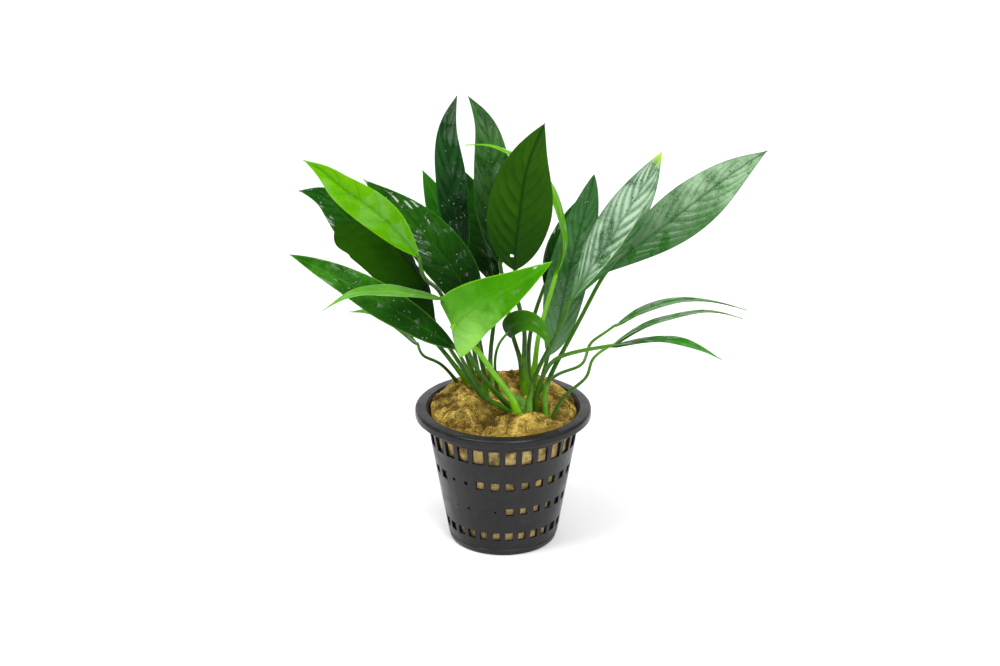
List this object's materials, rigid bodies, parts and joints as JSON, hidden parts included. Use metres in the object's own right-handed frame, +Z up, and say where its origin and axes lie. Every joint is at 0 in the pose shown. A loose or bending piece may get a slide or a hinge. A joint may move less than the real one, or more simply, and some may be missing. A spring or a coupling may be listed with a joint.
{
  "type": "potted aquatic plant",
  "caption": "Water plant with long-stalked, pointed glossy leaves, rooted in fibrous rock wool inside a slotted black plastic basket pot.",
  "frame": {"origin": "on the basket's axis, at the level of its flat base", "axes": "+Z up along the basket's axis, -Y towards the side the plant is shown from"},
  "size_m": [0.1437, 0.0884, 0.1416],
  "materials": {
    "basket": "satin",
    "wool": "matte",
    "rhizome": "satin",
    "stalk": "satin",
    "stalk_lime": "satin",
    "blade_dark": "gloss",
    "blade_green": "gloss",
    "blade_lime": "gloss"
  },
  "bodies": {
    "root": {"basket_pot": "basket", "rock_wool": "wool", "rhizome": "rhizome", "leaf_01_stalk": "stalk_lime", "leaf_01_blade": "blade_lime", "leaf_02_stalk": "stalk", "leaf_02_blade": "blade_dark", "leaf_03_stalk": "stalk", "leaf_03_blade": "blade_dark", "leaf_04_stalk": "stalk", "leaf_04_blade": "blade_dark", "leaf_05_stalk": "stalk", "leaf_05_blade": "blade_dark", "leaf_06_stalk": "stalk", "leaf_06_blade": "blade_green", "leaf_07_stalk": "stalk", "leaf_07_blade": "blade_green", "leaf_08_stalk": "stalk", "leaf_08_blade": "blade_green", "leaf_09_stalk": "stalk", "leaf_09_blade": "blade_dark", "leaf_10_stalk": "stalk", "leaf_10_blade": "blade_dark", "leaf_11_stalk": "stalk", "leaf_11_blade": "blade_dark", "leaf_12_stalk": "stalk", "leaf_12_blade": "blade_dark", "leaf_13_stalk": "stalk_lime", "leaf_13_blade": "blade_lime", "leaf_14_stalk": "stalk_lime", "leaf_14_blade": "blade_lime", "leaf_15_stalk": "stalk", "leaf_15_blade": "blade_green", "leaf_16_stalk": "stalk", "leaf_16_blade": "blade_dark", "leaf_17_stalk": "stalk", "leaf_17_blade": "blade_dark", "leaf_18_stalk": "stalk", "leaf_18_blade": "blade_dark", "leaf_19_stalk": "stalk", "leaf_19_blade": "blade_dark", "leaf_20_stalk": "stalk", "leaf_20_blade": "blade_green", "leaf_21_stalk": "stalk", "leaf_21_blade": "blade_green", "leaf_22_stalk": "stalk", "leaf_22_blade": "blade_green"}
  },
  "joints": []
}
